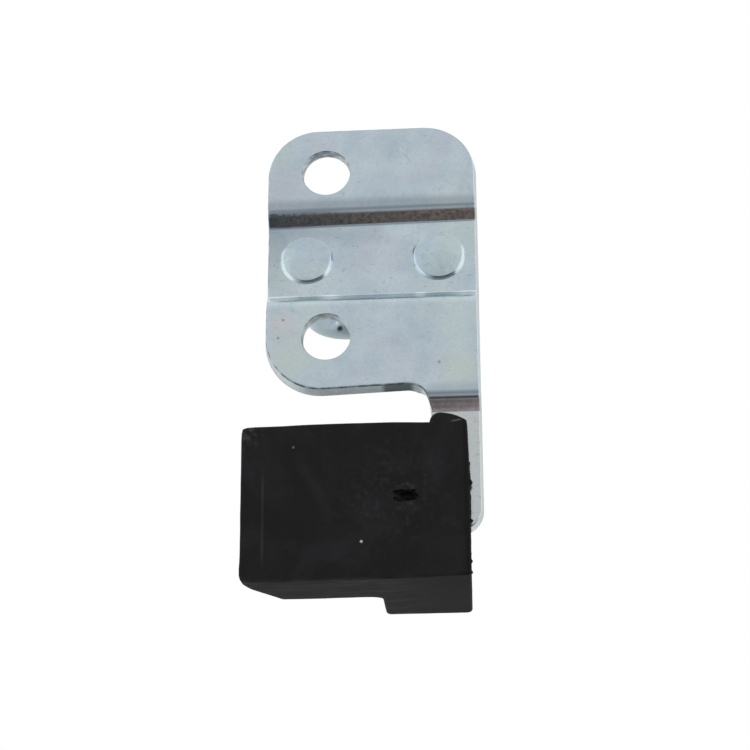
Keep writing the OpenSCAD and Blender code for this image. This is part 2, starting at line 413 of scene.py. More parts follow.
# The set-backs' colour is a painted reflection of dark surroundings, darker to the left, with a brown mottle
# of press wear.
dark_band_wear_and_reflection = coat(tree, linear("#423E3D"), [(left_share, "#1E2226")])
pale_band_wear_and_reflection = coat(tree, linear("#796E69"), [(left_share, "#454B51")])
arm_band_wear_and_reflection = coat(tree, linear("#80777A"), [(mottle_share, "#9A8F92"), (arm_shade_line, "#4A5354")])
band_wear_and_reflection = coat(tree, dark_band_wear_and_reflection, [(mottle_share, pale_band_wear_and_reflection), (on_arm, arm_band_wear_and_reflection)])

leaning = add(tree, "ShaderNodeAttribute", {"attribute_name": "bend_shading"}, {}).outputs["Fac"]
# Painted highlights on the lower step: its bend is painted lighter to the left and at three breaks in its line
# of dark reflection.
lower_step = add(tree, "ShaderNodeMapRange", {}, {"Value": leaning, "From Min": -0.1, "From Max": -0.4})
bright_places = add(tree, "ShaderNodeMapRange", {}, {
    "Value": axes["X"], "From Min": -4.5 * MM, "From Max": -8 * MM, "To Max": 0.75})
for bright_x, bright_half, bright_most in step_breaks:
    bright_place = near_line(tree, axes["X"], bright_x, bright_half, 0.35 * bright_half, bright_most)
    bright_places = add(tree, "ShaderNodeMath", {"operation": "MAXIMUM"}, {0: bright_places, 1: bright_place})
step_foot = add(tree, "ShaderNodeMapRange", {}, {
    "Value": axes["Y"], "From Min": 0.25 * recess, "From Max": 0.5 * recess})
step_highlight_share = meet(tree, lower_step, step_foot, bright_places)
# Painted shade on the bends and just above where they start, strongest above the upper band at the left; gleam
# takes a painted highlight line back out of it inside the bend.
bend_start_shade = add(tree, "ShaderNodeMapRange", {}, {
    "Value": leaning, "From Min": 0.0, "From Max": 0.33, "To Max": 0.85})
shade_starts = [(recess_top, left_x - 1 * MM, 0.45), (arm_bend_z, arm_x, 0.25)]
for start_z, start_x, most_shade in shade_starts:
    above = add(tree, "ShaderNodeMapRange", {"interpolation_type": "SMOOTHSTEP"}, {
        "Value": axes["Z"], "From Min": start_z + 1.9 * MM, "From Max": start_z, "To Max": most_shade})
    below = add(tree, "ShaderNodeMapRange", {}, {
        "Value": axes["Z"], "From Min": start_z - 2 * MM, "From Max": start_z - 1 * MM})
    beside = add(tree, "ShaderNodeMapRange", {}, {
        "Value": axes["X"], "From Min": start_x - 1 * MM, "From Max": start_x + 0.5 * MM})
    start_shade = meet(tree, above, below, beside)
    bend_start_shade = add(tree, "ShaderNodeMath", {"operation": "MAXIMUM"}, {0: bend_start_shade, 1: start_shade})
gleam = near_line(tree, leaning, 0.54, 0.15, 0.03, 0.55)
gleam_side = add(tree, "ShaderNodeMapRange", {}, {
    "Value": axes["X"], "From Min": -3 * MM, "From Max": 8 * MM})
gleam_share = meet(tree, gleam, gleam_side)
painted_bend_shade = add(tree, "ShaderNodeMath", {"operation": "SUBTRACT"}, {0: bend_start_shade, 1: gleam_share})
feather = add(tree, "ShaderNodeMath", {"operation": "MULTIPLY_ADD"}, {0: mottle, 1: 1.2, 2: -0.52})
left_feather = meet(tree, feather, left_share)
feathered = add(tree, "ShaderNodeMath", {"operation": "ADD"}, {0: leaning, 1: left_feather})
# band_share lays that painted reflection over the set-backs, feathered at the left.
band_from = add(tree, "ShaderNodeMath", {"operation": "MULTIPLY_ADD"}, {0: on_arm, 1: 0.13, 2: 0.6})
band_to = add(tree, "ShaderNodeMath", {"operation": "ADD"}, {0: band_from, 1: 0.1})
band_share = add(tree, "ShaderNodeMapRange", {}, {
    "Value": feathered, "From Min": band_from, "From Max": band_to, "To Max": 0.95})

cut = add(tree, "ShaderNodeAttribute", {"attribute_name": "sheared"}, {}).outputs["Fac"]
# A painted reflection of the black rubber block: a dark stretch on the lower ear's cut edge, above the block's
# deep part.
block_reflection_share = near_line(tree, axes["X"], block_reflection_x, block_reflection_half, block_reflection_half - 0.9 * MM, 0.8)
low_down = add(tree, "ShaderNodeMapRange", {}, {
    "Value": axes["Z"], "From Min": ear_z + 4 * MM, "From Max": ear_z + 2.5 * MM})
block_reflection = meet(tree, block_reflection_share, low_down)
# Painted shade: the cut faces near the left and right sides are painted a darker grey.
right_edge_shade = add(tree, "ShaderNodeMapRange", {}, {
    "Value": axes["X"], "From Min": right_x - 2 * MM, "From Max": right_x - 0.5 * MM, "To Max": 0.8})
left_edge_shade = add(tree, "ShaderNodeMapRange", {}, {
    "Value": axes["X"], "From Min": left_x + 6 * MM, "From Max": left_x + 1 * MM, "To Max": 0.8})
side_edge_shade = add(tree, "ShaderNodeMath", {"operation": "MAXIMUM"}, {0: right_edge_shade, 1: left_edge_shade})
cut_face = coat(tree, linear("#C8DAE1"), [
    (mottle_share, "#DEEAEF"), (side_edge_shade, "#A3A9A8"), (block_reflection, "#5C6668")])
# A broken line of painted shade along the rolled edges and in the holes, left off near the right side.
roll_shade_weight = add(tree, "ShaderNodeAttribute", {"attribute_name": "rolled"}, {}).outputs["Fac"]
breaks = add(tree, "ShaderNodeTexNoise", {}, {
    "Vector": place, "Scale": 1000 / break_mm, "Detail": 3.0, "Roughness": 0.6})
break_share = add(tree, "ShaderNodeMapRange", {}, {
    "Value": breaks, "From Min": 0.4, "From Max": 0.58, "To Min": 0.35, "To Max": 0.9})
off_side = add(tree, "ShaderNodeMath", {"operation": "SUBTRACT"}, {0: 1.0, 1: right_edge_shade})
roll_shade_line = meet(tree, roll_shade_weight, off_side, break_share)
pits = [(near_spot(tree, place, speck, 0.38 * MM, 0.12 * MM, 0.6), "#5A6264") for speck in specks]
colour_and_painted_light = coat(tree, grained, [
    (step_highlight_share, "#E6ECEE"), (painted_bend_shade, "#757F8A"), (band_share, band_wear_and_reflection), (cut, cut_face),
    (roll_shade_line, "#3C444A"), *pits])
gloss = add(tree, "ShaderNodeMapRange", {}, {
    "Value": grain, "From Min": 0.3, "From Max": 0.7, "To Min": 0.17, "To Max": 0.27})
duller = add(tree, "ShaderNodeMath", {"operation": "MULTIPLY_ADD"}, {0: cut, 1: 0.2, 2: gloss})
dullest = add(tree, "ShaderNodeMath", {"operation": "MULTIPLY_ADD"}, {0: band_share, 1: 0.35, 2: duller})
bare_share = add(tree, "ShaderNodeMapRange", {}, {"Value": band_share, "To Min": 1.0, "To Max": 0.3})
matt_share = add(tree, "ShaderNodeMapRange", {}, {"Value": cut, "To Min": 1.0, "To Max": 0.35})
relief = add(tree, "ShaderNodeBump", {}, {"Height": grain, "Strength": 0.1, "Distance": 0.05 * MM})
link(tree, colour_and_painted_light, shader.inputs["Base Color"])
link(tree, dullest, shader.inputs["Roughness"])
link(tree, meet(tree, bare_share, matt_share), shader.inputs["Metallic"])
link(tree, relief, shader.inputs["Normal"])
bracket_sheet.data.materials.append(zinc)
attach(bracket_sheet, "root")
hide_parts("bracket")


# Striker loop: one drawn steel rod bent to a U for the latch's claw. Its ends are turned down, put
# through the bracket's band and peened over in the recess to heads with a low crown, a little above
# the rod's middle and beaten thinner at the top. It was plated together with the bracket.
band_back = bracket_high.y
rod_r = 3 * MM
bar_y = loop_high.y - rod_r
loop_bend_r = 5.5 * MM
head_r = 5 * MM
head_h = recess - loop_low.y
crown_r = 1.5 * MM
crown_slope = math.radians(16)
head_bevel = math.radians(50)
head_bevel_h = 0.4 * MM
head_rim_r = 0.8 * MM
head_skew = 0.9
head_rise = 0.55 * MM
head_spread = 0.03
rod_sides = 48
head_seed = 4

half_section = [(spigot_r, 0), (spigot_r, sheet_t), (head_r, sheet_t)]
rim_foot_r = head_r - head_bevel_h / math.tan(head_bevel)
for k in range(roll_steps + 1):
    tilt = head_bevel + (crown_slope - head_bevel) * k / roll_steps
    radius = rim_foot_r - head_rim_r * (math.sin(head_bevel) - math.sin(tilt))
    rim_up = head_rim_r * (math.cos(tilt) - math.cos(head_bevel))
    half_section.append((radius, sheet_t + head_bevel_h + rim_up))
half_section.append((crown_r, sheet_t + head_h))
end_work = bmesh.new()
end_rings = []
for radius, along in half_section:
    ring = round_hole(0, 0, radius, 0)
    proud = max(0, along - sheet_t)
    sunk = [proud * head_skew * (max(0, p.y) / head_r) ** 0.8 for p in ring]
    rise = head_rise if radius > spigot_r or proud > 0 else 0
    end_rings.append([(p.x, drop - along, p.y + rise) for p, drop in zip(ring, sunk)])
turned = stitch(end_work, end_rings)
for ring in (turned[0], turned[-1]):
    end_work.faces.new(ring)
rod_end = finish_mesh(end_work, "rod_end")

path = bpy.data.meshes.new("rod_path")
path_points = [
    (leg_xs[0], band_back, loop_z),
    (leg_xs[0], bar_y, loop_z),
    (leg_xs[1], bar_y, loop_z),
    (leg_xs[1], band_back, loop_z),
]
path.from_pydata(path_points, [(0, 1), (1, 2), (2, 3)], [])
striker_rod = bpy.data.objects.new("striker_rod", path)
bpy.context.scene.collection.objects.link(striker_rod)


def new_tree(name, inputs):
    """A node tree that takes the named inputs and gives geometry back."""
    made = bpy.data.node_groups.new(name, "GeometryNodeTree")
    for label, kind in inputs.items():
        made.interface.new_socket(label, in_out="INPUT", socket_type="NodeSocket" + kind)
    made.interface.new_socket("Geometry", in_out="OUTPUT", socket_type="NodeSocketGeometry")
    return made


def close_tree(tree, parts, material):
    """Joins parts, makes their instances real, sets the material and gives the result out."""
    together = add(tree, "GeometryNodeJoinGeometry", {}, {})
    for part in parts:
        link(tree, part, together.inputs["Geometry"])
    real = add(tree, "GeometryNodeRealizeInstances", {}, {"Geometry": together})
    coated = add(tree, "GeometryNodeSetMaterial", {}, {"Geometry": real, "Material": material})
    add(tree, "NodeGroupOutput", {}, {"Geometry": coated})


rod_tree = new_tree("bent rod with peened ends", {
    "Geometry": "Geometry", "Rod Radius": "Float", "Bend Radius": "Float", "Head Spread": "Float",
    "Rod End": "Object", "Material": "Material"})
given = rod_tree.nodes.new("NodeGroupInput").outputs
line = add(rod_tree, "GeometryNodeMeshToCurve", {}, {"Mesh": given["Geometry"]})
bent = add(rod_tree, "GeometryNodeFilletCurve", {"mode": "POLY"}, {
    "Curve": line, "Count": 16, "Radius": given["Bend Radius"]})
round_bar = add(rod_tree, "GeometryNodeCurvePrimitiveCircle", {"mode": "RADIUS"}, {
    "Resolution": rod_sides, "Radius": given["Rod Radius"]})
swept = add(rod_tree, "GeometryNodeCurveToMesh", {}, {
    "Curve": bent, "Profile Curve": round_bar, "Fill Caps": True})
tips = add(rod_tree, "GeometryNodeCurveEndpointSelection", {}, {"Start Size": 1, "End Size": 1})
narrower = add(rod_tree, "ShaderNodeMath", {"operation": "SUBTRACT"}, {0: 1.0, 1: given["Head Spread"]})
wider = add(rod_tree, "ShaderNodeMath", {"operation": "ADD"}, {0: 1.0, 1: given["Head Spread"]})
least = add(rod_tree, "ShaderNodeCombineXYZ", {}, {"X": 1.0, "Y": 1.0, "Z": narrower})
most = add(rod_tree, "ShaderNodeCombineXYZ", {}, {"X": wider, "Y": 1.0, "Z": 1.0})
spread = add(rod_tree, "FunctionNodeRandomValue", {"data_type": "FLOAT_VECTOR"}, {
    "Min": least, "Max": most, "Seed": head_seed})
end_shape = add(rod_tree, "GeometryNodeObjectInfo", {}, {"Object": given["Rod End"]})
ends = add(rod_tree, "GeometryNodeInstanceOnPoints", {}, {
    "Points": bent, "Selection": tips, "Instance": end_shape.outputs["Geometry"], "Scale": spread})
close_tree(rod_tree, [swept, ends], given["Material"])


def grow(piece, node_tree, settings):
    """Runs a node tree on a piece with named settings and keeps the result as its plain mesh."""
    modifier = piece.modifiers.new(node_tree.name, "NODES")
    modifier.node_group = node_tree
    for item in node_tree.interface.items_tree:
        if item.in_out == "INPUT" and item.name in settings:
            modifier[item.identifier] = settings[item.name]
    done = piece.evaluated_get(bpy.context.evaluated_depsgraph_get())
    mesh = bpy.data.meshes.new_from_object(done)
    piece.modifiers.remove(modifier)
    piece.data = mesh


# The same plating on a drawn rod: its clouds are a little darker. Behind the band it is duller and less
# metallic, and painted lighter and bluer, painted light that evens out its reflections. Inside the bend a
# painted dark reflection and a painted highlight lie side by side.
rod_reflections = [
    (Vector((0, 31, -2.9)) * MM, 0.75 * MM, "#3E4A4E"),
    (Vector((-0.6, 29.9, -2.1)) * MM, 0.4 * MM, "#F2F6F7"),
]
rod_zinc = zinc.copy()
rod_zinc.name = "bright_zinc_on_drawn_rod"
rod_clouds = rod_zinc.node_tree.nodes["cloud colours"]
rod_clouds.inputs["A"].default_value = linear("#A5B8C3")
rod_clouds.inputs["B"].default_value = linear("#BECCD4")
tree = rod_zinc.node_tree
rod_base = tree.nodes["Principled BSDF"].inputs["Base Color"]
place = add(tree, "ShaderNodeTexCoord", {}, {}).outputs["Object"]
axes = add(tree, "ShaderNodeSeparateXYZ", {}, {"Vector": place}).outputs
# Behind the band the rod is painted lighter and bluer as painted light, and made duller and less metallic.
behind_band = add(tree, "ShaderNodeMapRange", {}, {
    "Value": axes["Y"], "From Min": recess + 1 * MM, "From Max": band_back, "To Max": 0.3})
# The painted dark reflection and the painted highlight inside the bend.
painted_reflections = [(near_spot(tree, place, mark, reach, reach / 2), colour) for mark, reach, colour in rod_reflections]
rod_with_reflections = coat(tree, rod_base.links[0].from_socket, [(behind_band, "#D2E8F4"), *painted_reflections])
link(tree, rod_with_reflections, rod_base)
rod_rough = tree.nodes["Principled BSDF"].inputs["Roughness"]
duller_rod = add(tree, "ShaderNodeMath", {"operation": "ADD"}, {
    0: rod_rough.links[0].from_socket, 1: behind_band})
link(tree, duller_rod, rod_rough)
rod_metal = tree.nodes["Principled BSDF"].inputs["Metallic"]
scatter = add(tree, "ShaderNodeMath", {"operation": "MULTIPLY_ADD"}, {0: behind_band, 1: -1.6, 2: 1.0})
link(tree, meet(tree, rod_metal.links[0].from_socket, scatter), rod_metal)
grow(striker_rod, rod_tree, {
    "Rod Radius": rod_r, "Bend Radius": loop_bend_r, "Head Spread": head_spread,
    "Rod End": rod_end, "Material": rod_zinc})
bpy.data.objects.remove(rod_end)
striker_rod.data.shade_smooth()
striker_rod.data.set_sharp_from_angle(angle=sharp_angle)
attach(striker_rod, "root")
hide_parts("striker_loop")


# Buffer block: one moulding of black rubber on the bracket's arm. It is deep behind the arm and shallow
# beside it, with a sloped back corner. A lip, whose top falls away to the right, laps up the front of the arm.
block_low, block_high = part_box("buffer_block")
block_left = block_low.x
block_right = block_high.x
block_bottom = block_low.z
block_h = 29.8 * MM
block_top = block_bottom + block_h
deep_left = block_right - 17 * MM
shallow_y = 12.9 * MM
slope_w = 6.7 * MM
inner_d = 3 * MM
drawn_in = block_high.y * math.tan(math.radians(1.5))
block_edge_r = 0.5 * MM
step_fillet_r = 2 * MM
deep_corner_r = 1.2 * MM
lip_left = arm_x - 0.15 * MM
lip_right = block_right - 0.05 * MM
lip_in_r = 2 * MM
lip_top_r = 10 * MM
lip_out_r = 0.8 * MM
lip_in_slope = 0.1
lip_out_slope = 0.52
lip_crest_x = arm_x + 4.3 * MM
lip_crest_z = block_high.z - 0.31 * MM
lip_in_z = lip_crest_z + (lip_crest_x - lip_left) * lip_in_slope
lip_out_z = lip_crest_z - (lip_right - lip_crest_x) * lip_out_slope
lip_foot_z = block_top - 3 * MM
lip_round = 0.7 * MM

plan = [
    ((block_left, 0), block_edge_r),
    ((block_right, 0), block_edge_r),
    ((block_right - drawn_in, block_high.y), deep_corner_r),
    ((deep_left, block_high.y), deep_corner_r),
    ((deep_left, shallow_y), step_fillet_r),
    ((block_left + slope_w, shallow_y), block_edge_r * 2),
    ((block_left, inner_d), block_edge_r * 2),
]
moulding = bmesh.new()
block_rings = [
    [(p.x, p.y, block_bottom + up) for p in rounded_ring(plan, inset, 6)]
    for inset, up in edge_profile(block_h, block_edge_r, 0, block_edge_r)
]
levels = stitch(moulding, block_rings)
for ring in (levels[0], levels[-1]):
    moulding.faces.new(ring)
rubber_block = finish_mesh(moulding, "rubber_block")

lip_outline = [
    ((lip_left, lip_foot_z), lip_out_r),
    ((lip_right, lip_foot_z), lip_out_r),
    ((lip_right, lip_out_z), lip_out_r),
    ((lip_crest_x, lip_crest_z), lip_top_r),
    ((lip_left, lip_in_z), lip_in_r),
]
lip_work = bmesh.new()
lip_rings = [
    [(p.x, depth, p.y) for p in rounded_ring(lip_outline, inset)]
    for inset, depth in edge_profile(recess, lip_round, 0, 0)[:-roll_steps]
]
slabs = stitch(lip_work, lip_rings)
for ring in (slabs[0], slabs[-1]):
    lip_work.faces.new(ring)
arm_lip = finish_mesh(lip_work, "arm_lip")


def combine(piece, other, operation):
    """Adds another closed shape to a piece, or cuts it away, and keeps the result."""
    modifier = piece.modifiers.new(operation, "BOOLEAN")
    modifier.operation = operation
    modifier.solver = "EXACT"
    modifier.object = other
    done = piece.evaluated_get(bpy.context.evaluated_depsgraph_get())
    mesh = bpy.data.meshes.new_from_object(done)
    piece.modifiers.remove(modifier)
    piece.data = mesh


combine(rubber_block, arm_lip, "UNION")
bpy.data.objects.remove(arm_lip)
combine(rubber_block, bracket_sheet, "DIFFERENCE")

# The mould's faces are not quite true. The lower left edge is rounder than the others and swells, the upper
# left corner is rubbed off, the top edge is crowned, the right side leans in towards its top and the lower
# front edge rises to the right.
grid_step = 1.3 * MM
wave_mm = 9
wave_depth = 0.06 * MM
ripple_mm = 2.2
ripple_depth = 0.025 * MM
side_lean = 0.28 * MM
lean_w = 4 * MM
lean_h = 11 * MM
top_crown = 0.24 * MM
crown_x = 4.5 * MM
crown_half = 13 * MM
crown_h = 5 * MM
foot_rise = 0.42 * MM
foot_x = 10 * MM
foot_h = 4 * MM
foot_d = 20 * MM
rub_r = 1.6 * MM
rub_depth = 0.4 * MM
swell_r = 3.2 * MM
swell_out = 0.15 * MM
drawn_w = 3 * MM
drawn_by = 0.15 * MM
round_w = 1.6 * MM
round_by = 0.3 * MM
uneven = bmesh.new()
uneven.from_mesh(rubber_block.data)
for axis in range(3):
    way = Vector((0, 0, 0))
    way[axis] = 1
    lines = int((block_high[axis] - block_low[axis]) / grid_step)
    for k in range(1, lines):
        whole = uneven.verts[:] + uneven.edges[:] + uneven.faces[:]
        at = block_low + way * grid_step * k
        bmesh.ops.bisect_plane(uneven, geom=whole, dist=1e-7, plane_co=at, plane_no=way)
uneven.normal_update()
rubbed_corner = Vector((block_left, 0, block_top))
swollen_corner = Vector((block_left, 0, block_bottom + 1.5 * MM))
shifts = []
for vert in uneven.verts:
    wave = noise.noise(vert.co * 1000 / wave_mm) * wave_depth
    ripple = noise.noise(vert.co * 1000 / ripple_mm) * ripple_depth
    rub = max(0, 1 - (vert.co - rubbed_corner).length / rub_r) * rub_depth
    swell = max(0, 1 - (vert.co - swollen_corner).length / swell_r) * swell_out
    drawn = max(0, 1 - (vert.co.x - block_left) / drawn_w) * drawn_by
    near_side = max(0, 1 - (vert.co.x - block_left) / round_w)
    near_foot = max(0, 1 - (vert.co.z - block_bottom) / round_w)
    rounder = near_side * near_foot * round_by
    to_right = max(0, 1 - (block_right - vert.co.x) / lean_w)
    lean = to_right * min(max(0, 1 - (block_top - vert.co.z) / lean_h), 1) * side_lean
    from_crown = (vert.co.x - crown_x) / crown_half
    near_top = max(0, 1 - abs(block_top - vert.co.z) / crown_h)
    crown = near_top * max(0, 1 - from_crown ** 2) * top_crown
    at_foot = max(0, 1 - (vert.co.z - block_bottom) / foot_h) * max(0, 1 - vert.co.y / foot_d)
    foot = at_foot * max(0, (vert.co.x - foot_x) / (block_right - foot_x)) * foot_rise
    across = Vector((drawn - swell + rounder - lean, 0, rounder + crown + foot))
    shifts.append(vert.normal * (wave + ripple - rub) + across)
for vert, shift in zip(uneven.verts, shifts):
    moved = vert.co + shift
    vert.co = [min(max(moved[i], block_low[i]), block_high[i]) for i in range(3)]
uneven.to_mesh(rubber_block.data)
uneven.free()

# Where the gate was torn off, a ragged pit is left in the front face.
pit_at = Vector((14.7 * MM, 0, -48.6 * MM))
pit_lobes = [
    (Vector((0.4, 0, 0)) * MM, Vector((1.9, 1.5, 1.15)) * MM),
    (Vector((-0.9, 0, 0.6)) * MM, Vector((1.4, 0.9, 0.5)) * MM),
    (Vector((-1.1, 0, -0.7)) * MM, Vector((1.3, 0.9, 0.55)) * MM),
    (Vector((1.4, 0, -0.35)) * MM, Vector((1.1, 0.9, 0.6)) * MM),
]
for k, (offset, half) in enumerate(pit_lobes):
    lobe_work = bmesh.new()
    bmesh.ops.create_icosphere(lobe_work, subdivisions=4, radius=1)
    for vert in lobe_work.verts:
        rough = 1 + 0.3 * noise.fractal(vert.co * 1.6 + Vector((7 * k, 0, 0)), 0.8, 2.1, 3)
        spot = Vector(half[i] * vert.co[i] * rough for i in range(3))
        vert.co = pit_at + offset + spot
    lobe = finish_mesh(lobe_work, "pit_lobe")
    combine(rubber_block, lobe, "DIFFERENCE")
    bpy.data.objects.remove(lobe)

# Filled natural rubber, pressed in a steel mould: a dull black with a faint sheen, fine grain, pale
# smears of mould release, streaks underneath, a few specks of dust, and paler flecks where it is worn.
# A lighter line down the front and a light line on the lip are painted highlights, and the inside of the
# pit and a band along the right front edge are painted darker, as painted shade and a painted reflection.
smear_mm = 11
streak_mm = 0.9
fine_mm = 0.35
fleck_mm = 1.1
dust_apart_mm = 9
dust_r_mm = 0.09
dust_spots = [(Vector((6.5, 0, -57.2)) * MM, "#A9A9A6"), (Vector((-6, 0, -38.8)) * MM, "#505050")]
lip_highlight_x = 24.1 * MM
lip_highlight_half = 1.1 * MM
lip_highlight_z = -34.4 * MM
lip_highlight_rise = 0.165
ridge_highlight_x = -11.6 * MM
ridge_highlight_z = -52.4 * MM
ridge_highlight_half = 9.5 * MM
torn_r = 2.9 * MM
corner_rub_r = 6 * MM
worn_at = Vector((13, 0, -48)) * MM
worn_r = 15 * MM
rubber = bpy.data.materials.new("black_moulded_rubber")
rubber.use_nodes = True
tree = rubber.node_tree
shader = tree.nodes["Principled BSDF"]
place = add(tree, "ShaderNodeTexCoord", {}, {}).outputs["Object"]
axes = add(tree, "ShaderNodeSeparateXYZ", {}, {"Vector": place}).outputs
smears = add(tree, "ShaderNodeTexNoise", {}, {
    "Vector": place, "Scale": 1000 / smear_mm, "Detail": 6.0, "Roughness": 0.65, "Distortion": 0.8})
smear_share = add(tree, "ShaderNodeMapRange", {}, {"Value": smears, "From Min": 0.45, "From Max": 0.8})
drawn_long = add(tree, "ShaderNodeVectorMath", {"operation": "MULTIPLY"}, {0: place, 1: (0.15, 1.0, 1.0)})
streaks = add(tree, "ShaderNodeTexNoise", {}, {
    "Vector": drawn_long, "Scale": 1000 / streak_mm, "Detail": 3.0, "Roughness": 0.6})
streak_share = add(tree, "ShaderNodeMapRange", {}, {
    "Value": streaks, "From Min": 0.38, "From Max": 0.68, "To Max": 0.4})
underneath = add(tree, "ShaderNodeMapRange", {}, {
    "Value": axes["Z"], "From Min": block_bottom + 0.5 * MM, "From Max": block_bottom + 0.1 * MM})
paler_left = add(tree, "ShaderNodeMapRange", {}, {
    "Value": axes["X"], "From Min": block_right - 5 * MM, "From Max": deep_left, "To Min": 0.15})
under_streaks = meet(tree, streak_share, underneath, paler_left)
front_face = add(tree, "ShaderNodeMapRange", {}, {
    "Value": axes["Y"], "From Min": 1.2 * MM, "From Max": 0.6 * MM})
# A painted highlight: a lighter line down the front face along a faint ridge.
ridge_highlight_share = near_line(tree, axes["X"], ridge_highlight_x, 0.3 * MM, 0.1 * MM, 0.35)
ridge_highlight_ends = near_line(tree, axes["Z"], ridge_highlight_z, ridge_highlight_half, ridge_highlight_half - 3 * MM)
ridge_highlight = meet(tree, ridge_highlight_share, ridge_highlight_ends, front_face, smears)
dust = add(tree, "ShaderNodeTexVoronoi", {}, {"Vector": place, "Scale": 1000 / dust_apart_mm})
dust_share = add(tree, "ShaderNodeMapRange", {}, {
    "Value": dust, "From Min": 1.5 * dust_r_mm / dust_apart_mm, "From Max": dust_r_mm / dust_apart_mm})
dusts = [(near_spot(tree, place, spot, 0.32 * MM, 0.18 * MM), colour) for spot, colour in dust_spots]
# A painted highlight: a light line along the lip near its right shoulder.
lip_highlight_up = add(tree, "ShaderNodeMath", {"operation": "MULTIPLY_ADD"}, {
    0: axes["X"], 1: -lip_highlight_rise, 2: axes["Z"]})
lip_highlight_share = near_line(tree, lip_highlight_up, lip_highlight_z - lip_highlight_rise * lip_highlight_x, 0.2 * MM, 0.06 * MM, 0.7)
lip_highlight_ends = near_line(tree, axes["X"], lip_highlight_x, lip_highlight_half, lip_highlight_half - 0.5 * MM)
lip_highlight = meet(tree, lip_highlight_share, lip_highlight_ends)
torn_share = near_spot(tree, place, pit_at, torn_r, torn_r - 1.2 * MM, 1.0, "SMOOTHSTEP")
fine = add(tree, "ShaderNodeTexNoise", {}, {
    "Vector": place, "Scale": 1000 / fine_mm, "Detail": 4.0, "Roughness": 0.6})
flecks = add(tree, "ShaderNodeTexNoise", {}, {"Vector": place, "Scale": 1000 / fleck_mm, "Detail": 3.0})
fleck_share = add(tree, "ShaderNodeMapRange", {}, {
    "Value": flecks, "From Min": 0.45, "From Max": 0.65, "To Max": 0.4})
worn_share = near_spot(tree, place, worn_at, worn_r, 0.2 * worn_r, 0.3, "SMOOTHSTEP")
few_flecks = add(tree, "ShaderNodeMapRange", {}, {"Value": flecks, "From Min": 0.52, "From Max": 0.75})
corner_share = near_spot(tree, place, rubbed_corner, corner_rub_r, 0.0, 1.6, "SMOOTHSTEP")
# Painted shade: the inside of the torn pit is painted near black.
pit_shade_depth = add(tree, "ShaderNodeMapRange", {}, {
    "Value": axes["Y"], "From Min": 0.1 * MM, "From Max": 0.4 * MM, "To Max": 0.8})
# A painted reflection: a band along the right front edge is painted blacker, as dark surroundings reflect
# there.
flash_edge_reflection = add(tree, "ShaderNodeMapRange", {}, {
    "Value": axes["X"], "From Min": block_right - 1.3 * MM, "From Max": block_right - 0.8 * MM})
blackened = coat(tree, linear("#101012"), [
    (smear_share, "#232326"),
    (under_streaks, "#424246"),
    (ridge_highlight, "#4A4A4C"),
    (dust_share, "#5F5F5D"),
    *dusts,
    (lip_highlight, "#5C5C5E"),
    (meet(tree, torn_share, fleck_share), "#39393B"),
    (meet(tree, worn_share, few_flecks), "#3A3A3C"),
    (meet(tree, corner_share, fleck_share), "#4C4C4A"),
    (meet(tree, torn_share, pit_shade_depth), "#050506"),
    (meet(tree, flash_edge_reflection, front_face, 0.7), "#060607"),
])
sheen = add(tree, "ShaderNodeMapRange", {}, {
    "Value": smears, "From Min": 0.3, "From Max": 0.7, "To Min": 0.68, "To Max": 0.82})
relief = add(tree, "ShaderNodeBump", {}, {"Height": fine, "Strength": 0.25, "Distance": 0.05 * MM})
link(tree, blackened, shader.inputs["Base Color"])
link(tree, sheen, shader.inputs["Roughness"])
link(tree, relief, shader.inputs["Normal"])
shader.inputs["Specular IOR Level"].default_value = 0.17
shader.inputs["IOR"].default_value = 1.52

# Flash: rubber that was squeezed out where the two mould halves met, along the right front edge. It was
# pulled off by hand, so its edge is ragged.
flash_apart_mm = 2.4
flash_seed = 3.0
flash_x = block_right - 0.1 * MM
flash_y = 0.6 * MM
flash_thin_z = block_top - 20 * MM
flash_nubs = [
    (-46.4 * MM, 1.2 * MM, 1.0),
    (-53.7 * MM, 0.7 * MM, 1.0),
    (-61.3 * MM, 0.7 * MM, 0.55),
    (-63.4 * MM, 0.7 * MM, 0.55),
]
flash_tree = new_tree("ragged flash along an edge", {
    "Geometry": "Geometry", "Start": "Vector", "End": "Vector", "Least Radius": "Float",
    "Most Radius": "Float", "Nub Radius": "Float", "Seed": "Float", "Material": "Material"})
given = flash_tree.nodes.new("NodeGroupInput").outputs
seam = add(flash_tree, "GeometryNodeCurvePrimitiveLine", {"mode": "POINTS"}, {
    "Start": given["Start"], "End": given["End"]})
stepped = add(flash_tree, "GeometryNodeResampleCurve", {}, {"Curve": seam, "Count": 180})
along = flash_tree.nodes.new("GeometryNodeInputPosition").outputs["Position"]
ragged = add(flash_tree, "ShaderNodeTexNoise", {"noise_dimensions": "4D"}, {
    "Vector": along, "W": given["Seed"], "Scale": 1000 / flash_apart_mm, "Detail": 4.0, "Roughness": 0.65})
bead = add(flash_tree, "ShaderNodeMapRange", {}, {
    "Value": ragged, "From Min": 0.42, "From Max": 0.68,
    "To Min": given["Least Radius"], "To Max": given["Most Radius"]})
height = add(flash_tree, "ShaderNodeSeparateXYZ", {}, {"Vector": along}).outputs["Z"]
thinner = add(flash_tree, "ShaderNodeMapRange", {}, {
    "Value": height, "From Min": flash_thin_z, "From Max": flash_thin_z - 2 * MM,
    "To Min": 1.0, "To Max": 0.45})
thickness = meet(flash_tree, bead, thinner)
for nub_z, nub_half, nub_share in flash_nubs:
    nub = near_line(flash_tree, height, nub_z, nub_half, 0.0, given["Nub Radius"], "SMOOTHSTEP")
    nub_r = meet(flash_tree, nub, nub_share)
    thickness = add(flash_tree, "ShaderNodeMath", {"operation": "MAXIMUM"}, {0: thickness, 1: nub_r})
